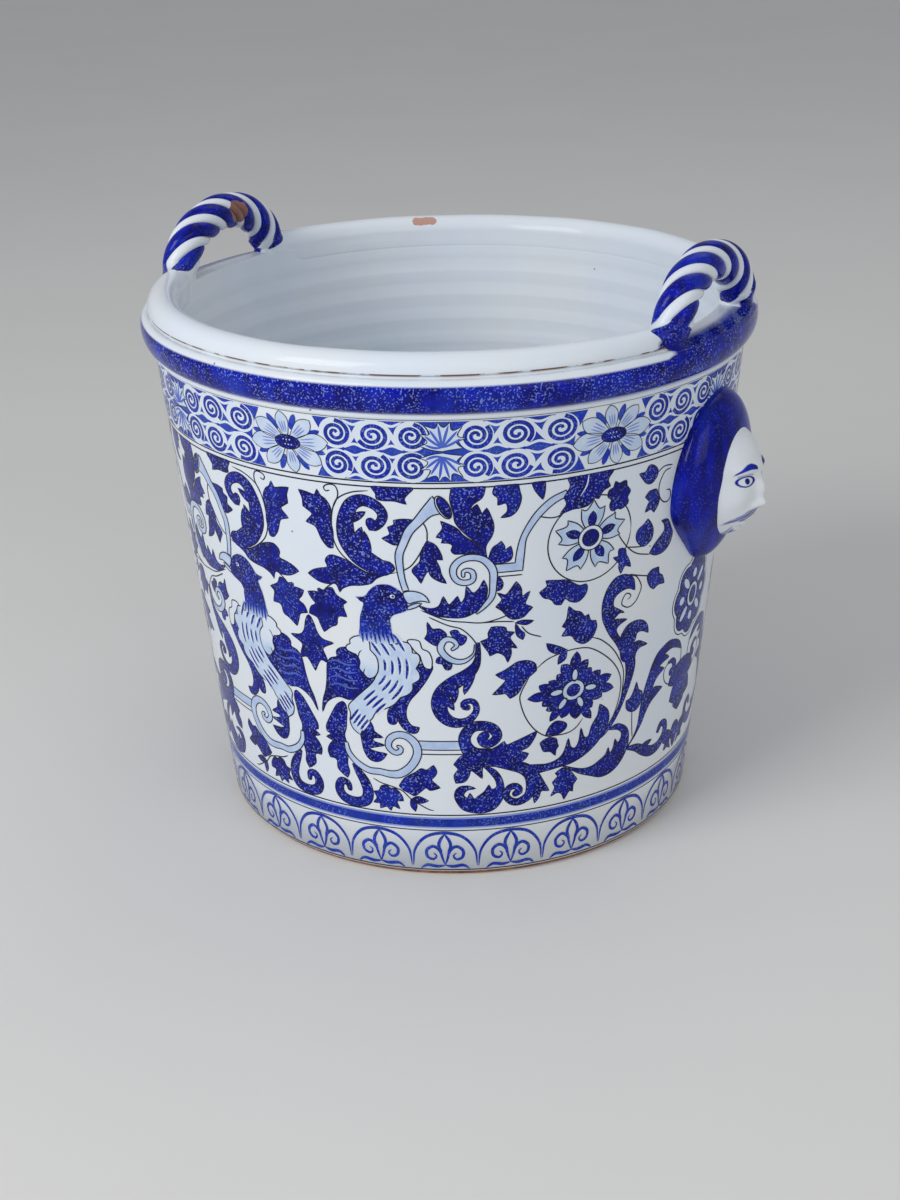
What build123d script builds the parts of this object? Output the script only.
"""Cachepot of glazed earthenware: a thrown conical wall on a floor slab and a foot ring, a collar roll, a bead
and a rolled lip round the rim, two rope handles laid from clay strands, and a mask under each handle.

Millimetres, +Z up, the origin on the table under the middle of the pot, the handles and masks on the X axis.
"""

import os
from math import asin, atan, atan2, cos, degrees, pi, radians, sin, sqrt, tan

from build123d import *

# Wall, floor and foot
foot_height = 4.0
foot_inset = 3.0
foot_width = 21.0
wall_top = 374.0
base_radius = 174.5
rim_radius = 211.2
wall_at_base = 14.0
wall_at_rim = 20.6
rim_rounding = 2.0
floor_thickness = 14.0

# Mouldings round the rim
lip_width = 22.0
lip_height = 12.0
collar_drop = 0.3
collar_height = 22.4
collar_proud = 7.4
bead_height = 4.3
bead_proud = 1.8

# Rope handles, each an arch of a large arc between two shoulder arcs
handle_outset = 1.7
handle_half_span = 54.0
handle_spring_rise = 2.0
shoulder_radius = 31.2
shoulder_turn = 60.0
strand_count = 6
lay_radius = 10.4
strand_clearance = 0.12
twist_pitch = 74.0
steps_per_turn = 6
gap_samples = 120

# Clay pads that carry the ropes on the rim
pad_rise = 12.5
pad_length = 44.0
pad_width = 23.2
pad_shift = 4.0
lip_reach = 16.0

# Masks under the handles, each a face in a mane
mask_gap = 15.5
mane_width = 98.0
mane_length = 123.0
mane_depth = 25.0
face_width = 62.0
face_length = 84.0
face_depth = 32.0
face_rise = 5.0
nose_width = 14.0
nose_proud = 9.0
nose_lean = 14.0
bridge_width = 8.8
brow_spacing = 24.4
brow_width = 27.0
brow_thickness = 9.0
brow_proud = 3.0
eye_spacing = 26.0
eye_width = 13.0
eye_thickness = 8.0
eye_proud = 1.2
muzzle_spacing = 15.2
muzzle_width = 19.0
muzzle_thickness = 11.0
muzzle_proud = 4.0
chin_width = 22.0
chin_thickness = 15.0
chin_proud = 4.0

# Worked out from the sizes above
wall_rise = wall_top - foot_height
wall_slope = (rim_radius - base_radius) / wall_rise
floor_top = foot_height + floor_thickness
inner_base = base_radius - wall_at_base
inner_rim = rim_radius - wall_at_rim
inner_slope = (inner_rim - inner_base) / wall_rise
lip_radius = rim_radius - wall_at_rim / 2
handle_setback = sqrt((lip_radius + handle_outset) ** 2 - handle_half_span**2)
collar_top = wall_top - rim_rounding - collar_drop
collar_bottom = collar_top - collar_height
bead_bottom = collar_bottom - bead_height
mask_height = bead_bottom - mask_gap - mane_length / 2


def outside(height):
    """Radius of the wall's outer face at a height above the table."""
    return base_radius + wall_slope * (height - foot_height)


def inside(height):
    """Radius of the wall's inner face at a height above the table."""
    return inner_base + inner_slope * (height - foot_height)


def save(node, name):
    """Label a finished piece and write it under its own name."""
    node.part.label = name
    export_step(node.part, f"parts/{name}.step")


os.makedirs("parts", exist_ok=True)

# Foot ring, turned in under the wall and the floor
with BuildPart() as foot_ring:
    with BuildSketch():
        Circle(base_radius - foot_inset)
        Circle(base_radius - foot_inset - foot_width, mode=Mode.SUBTRACT)
    extrude(amount=foot_height)
save(foot_ring, "foot_ring")

# Floor slab, luted inside the wall
with BuildPart() as floor_slab:
    with BuildSketch(Plane.XZ):
        with BuildLine():
            Polyline(
                (0, foot_height),
                (inside(foot_height), foot_height),
                (inside(floor_top), floor_top),
                (0, floor_top),
                close=True,
            )
        make_face()
    revolve(axis=Axis.Z)
save(floor_slab, "floor_slab")

# Thrown wall, thicker towards the rim, whose top edges are rounded
with BuildPart() as body_wall:
    with BuildSketch(Plane.XZ):
        with BuildLine():
            Polyline(
                (inner_base, foot_height),
                (base_radius, foot_height),
                (rim_radius, wall_top),
                (inner_rim, wall_top),
                close=True,
            )
        make_face()
    revolve(axis=Axis.Z)
    fillet(body_wall.edges().group_by(Axis.Z)[-1], rim_rounding)
save(body_wall, "body_wall")

# Solid of the wall's outer cone, which trims what is pressed onto the wall
with BuildPart() as wall_plug:
    with BuildSketch(Plane.XZ):
        with BuildLine():
            Polyline(
                (0, foot_height),
                (base_radius, foot_height),
                (rim_radius, wall_top),
                (0, wall_top),
                close=True,
            )
        make_face()
    revolve(axis=Axis.Z)


def rim_moulding(top, height, proud):
    """A roll round the outside of the wall, with its back on the wall's cone."""
    bottom = top - height
    middle = (top + bottom) / 2
    with BuildPart() as moulding:
        with BuildSketch(Plane.XZ):
            with BuildLine():
                ThreePointArc(
                    (outside(top), top),
                    (outside(middle) + proud, middle),
                    (outside(bottom), bottom),
                )
                Line((outside(bottom), bottom), (outside(top), top))
            make_face()
        revolve(axis=Axis.Z)
    return moulding


save(rim_moulding(collar_top, collar_height, collar_proud), "collar_roll")
save(rim_moulding(collar_bottom, bead_height, bead_proud), "neck_bead")

# Lip roll in two lengths, front and back, which stop at the handles' feet
foot_angle = degrees(atan2(handle_half_span, handle_setback))
lip_end_angle = foot_angle + degrees(lip_reach / lip_radius)


def lip_length(start_angle):
    """Half of the lip, from one handle's foot round to the next."""
    with BuildPart() as lip:
        with BuildSketch(Plane.XZ.rotated((0, 0, start_angle))):
            with BuildLine():
                ThreePointArc(
                    (lip_radius + lip_width / 2, wall_top),
                    (lip_radius, wall_top + lip_height),
                    (lip_radius - lip_width / 2, wall_top),
                )
                Line(
                    (lip_radius - lip_width / 2, wall_top),
                    (lip_radius + lip_width / 2, wall_top),
                )
            make_face()
        revolve(axis=Axis.Z, revolution_arc=180 - 2 * lip_end_angle)
    return lip


save(lip_length(lip_end_angle), "lip_back")
save(lip_length(180 + lip_end_angle), "lip_front")

# Rope handles: the arch stands in a plane across the X axis, and the strands are laid round a core roll
spring_height = wall_top + handle_spring_rise
shoulder = radians(shoulder_turn)
crown_radius = shoulder_radius + (handle_half_span - shoulder_radius) / cos(shoulder)
crown_centre = spring_height - (handle_half_span - shoulder_radius) * tan(shoulder)
shoulder_length = shoulder_radius * shoulder
crown_length = crown_radius * (pi - 2 * shoulder)
arch_length = 2 * shoulder_length + crown_length


def arch_heading(length):
    """How far the arch has turned from upright, in radians, at a length along it."""
    if length < shoulder_length:
        return length / shoulder_radius
    if length < shoulder_length + crown_length:
        return shoulder + (length - shoulder_length) / crown_radius
    return pi - (arch_length - length) / shoulder_radius


def arch_point(length):
    """The arch's middle line at a length along it, from the front foot to the back foot."""
    heading = arch_heading(length)
    if length < shoulder_length:
        side = -handle_half_span + shoulder_radius * (1 - cos(heading))
        return Vector(handle_setback, side, spring_height + shoulder_radius * sin(heading))
    if length < shoulder_length + crown_length:
        return Vector(handle_setback, -crown_radius * cos(heading), crown_centre + crown_radius * sin(heading))
    side = handle_half_span - shoulder_radius * (1 + cos(heading))
    return Vector(handle_setback, side, spring_height + shoulder_radius * sin(heading))


def arch_tangent(length):
    """Direction of the arch at a length along it."""
    heading = arch_heading(length)
    return Vector(0, sin(heading), cos(heading))


def strand_point(length, phase):
    """Middle of a strand that winds round the arch at the lay radius."""
    heading = arch_heading(length)
    turn = phase + 2 * pi * length / twist_pitch
    outward = Vector(0, -cos(heading), sin(heading)) * (lay_radius * cos(turn))
    return arch_point(length) + outward + Vector(lay_radius * sin(turn), 0, 0)


def neighbour_distance():
    """Least distance between the middles of strands that lie side by side, all round the rope."""
    samples = [arch_length * i / gap_samples for i in range(gap_samples + 1)]
    lines = [[strand_point(length, 2 * pi * i / strand_count) for length in samples] for i in range(strand_count)]
    neighbours = zip(lines, lines[1:] + lines[:1])
    return min((a - b).length for first, second in neighbours for a in first for b in second)


# The strands are as thick as the inside of the bends leaves room for, and the core fills the middle
strand_diameter = neighbour_distance() - strand_clearance
rope_radius = lay_radius + strand_diameter / 2
core_radius = lay_radius - strand_diameter / 2 - strand_clearance
print(f"strand diameter {strand_diameter:.2f}, rope radius {rope_radius:.2f}, core radius {core_radius:.2f}")

# The rope stands on its pads where the arch has risen to their tops
seat_length = shoulder_radius * asin((pad_rise - handle_spring_rise) / shoulder_radius)
front_seat = Plane(arch_point(seat_length), x_dir=(1, 0, 0), z_dir=arch_tangent(seat_length))
back_seat = Plane(
    arch_point(arch_length - seat_length),
    x_dir=(1, 0, 0),
    z_dir=-arch_tangent(arch_length - seat_length),
)


def tube_on_arch(path, diameter):
    """A round clay roll along a path, cut off square to the arch at both seats."""
    with BuildPart() as roll:
        with BuildSketch(Plane(path.line @ 0, z_dir=path.line % 0)):
            Circle(diameter / 2)
        sweep(path=path.line)
        split(bisect_by=front_seat, keep=Keep.TOP)
        split(bisect_by=back_seat, keep=Keep.TOP)
    return roll


def strand_path(phase):
    """Line of one strand: pairs of tangent arcs between stations along the arch."""
    stations = round(arch_length / twist_pitch * steps_per_turn)
    lengths = [arch_length * i / stations for i in range(stations + 1)]
    nudge = arch_length / 10000
    with BuildLine() as path:
        for start, end in zip(lengths, lengths[1:]):
            first = strand_point(start, phase)
            last = strand_point(end, phase)
            leaving = (strand_point(start + nudge, phase) - first).normalized()
            arriving = (last - strand_point(end - nudge, phase)).normalized()
            chord = last - first
            along = chord.dot(leaving + arriving)
            bend = 2 * (1 - leaving.dot(arriving))
            reach = (sqrt(along**2 + bend * chord.dot(chord)) - along) / bend
            joint = (first + last + (leaving - arriving) * reach) / 2
            crossing = (last - arriving * reach) - (first + leaving * reach)
            TangentArc(first, joint, tangent=leaving)
            TangentArc(joint, last, tangent=crossing.normalized())
    return path


with BuildLine() as core_path:
    TangentArc(arch_point(0), arch_point(shoulder_length), tangent=arch_tangent(0))
    TangentArc(
        arch_point(shoulder_length),
        arch_point(shoulder_length + crown_length),
        tangent=arch_tangent(shoulder_length),
    )
    TangentArc(
        arch_point(shoulder_length + crown_length),
        arch_point(arch_length),
        tangent=arch_tangent(shoulder_length + crown_length),
    )


def save_pair(node, name):
    """Write a piece for the right handle or mask and its twin, turned half round, for the left."""
    with BuildPart() as twin:
        add(node.part, rotation=(0, 0, 180))
    save(node, f"right_{name}")
    save(twin, f"left_{name}")


save_pair(tube_on_arch(core_path, 2 * core_radius), "handle_core")
for number in range(strand_count):
    path = strand_path(2 * pi * number / strand_count)
    save_pair(tube_on_arch(path, strand_diameter), f"strand_{number + 1}")

# Pad under one end of the rope, flared along the rim and cut square where the lip meets it
pad_angle = degrees(atan2(handle_half_span + pad_shift, handle_setback))
pad_foot = Plane(
    (lip_radius * cos(radians(pad_angle)), lip_radius * sin(radians(pad_angle)), wall_top),
    x_dir=(cos(radians(pad_angle)), sin(radians(pad_angle)), 0),
)
lip_end = Plane(
    (0, 0, wall_top),
    x_dir=(0, 0, 1),
    z_dir=(-sin(radians(lip_end_angle)), cos(radians(lip_end_angle)), 0),
)
with BuildPart() as back_pad:
    with BuildSketch(pad_foot):
        Ellipse(pad_width / 2, pad_length / 2)
    with BuildSketch(back_seat):
        Circle(rope_radius)
    loft()
    split(bisect_by=lip_end, keep=Keep.BOTTOM)
with BuildPart() as front_pad:
    mirror(back_pad.part, about=Plane.XZ)
save_pair(back_pad, "pad_back")
save_pair(front_pad, "pad_front")

# Mask: the face stands out of a domed mane, both pressed onto the sloping wall
wall_tilt = atan(wall_slope)
mask_plane = Plane(
    (outside(mask_height), 0, mask_height),
    x_dir=(0, 1, 0),
    z_dir=(cos(wall_tilt), 0, -sin(wall_tilt)),
)

# Levels of the face, from its middle, in thirds of its length
third = face_length / 3
brow_level = 0.5 * third
eye_level = 0.25 * third
nose_level = -0.42 * third
muzzle_level = -0.72 * third
chin_level = -1.2 * third
bridge_length = 1.2 * third


def face_front(side, up):
    """How far the bare face stands out of the wall at a place on it."""
    share = 1 - (2 * side / face_width) ** 2 - (2 * up / face_length) ** 2
    return face_rise + face_depth * sqrt(max(share, 0))


def swelling(width, length, depth):
    """A smooth egg-shaped lump about the origin."""
    with BuildPart() as lump:
        Sphere(1)
        scale(by=(width / 2, length / 2, depth))
    return lump.part


def feature(side, up, width, thickness, proud):
    """A lump of the face that stands proud of its bare front."""
    place = Location((side, up, face_front(side, up) + proud - thickness))
    with Locations(mask_plane.location * place):
        add(swelling(width, thickness, thickness))


with BuildPart() as face:
    with Locations(mask_plane.offset(face_rise).location):
        add(swelling(face_width, face_length, face_depth))
    for side in (-1, 1):
        feature(side * brow_spacing / 2, brow_level, brow_width, brow_thickness, brow_proud)
        feature(side * eye_spacing / 2, eye_level, eye_width, eye_thickness, eye_proud)
        feature(side * muzzle_spacing / 2, muzzle_level, muzzle_width, muzzle_thickness, muzzle_proud)
    feature(0, chin_level, chin_width, chin_thickness, chin_proud)
    feature(0, nose_level, nose_width, nose_width, nose_proud)
    bridge = Location((0, 0, face_front(0, 0) + nose_proud - nose_width), (nose_lean, 0, 0))
    with Locations(mask_plane.location * bridge):
        add(swelling(bridge_width, bridge_length, bridge_width))
    add(wall_plug.part, mode=Mode.SUBTRACT)
with BuildPart() as mane:
    with Locations(mask_plane.location):
        add(swelling(mane_width, mane_length, mane_depth))
    add(wall_plug.part, mode=Mode.SUBTRACT)
    add(face.part, mode=Mode.SUBTRACT)
save_pair(mane, "mask_mane")
save_pair(face, "mask_face")
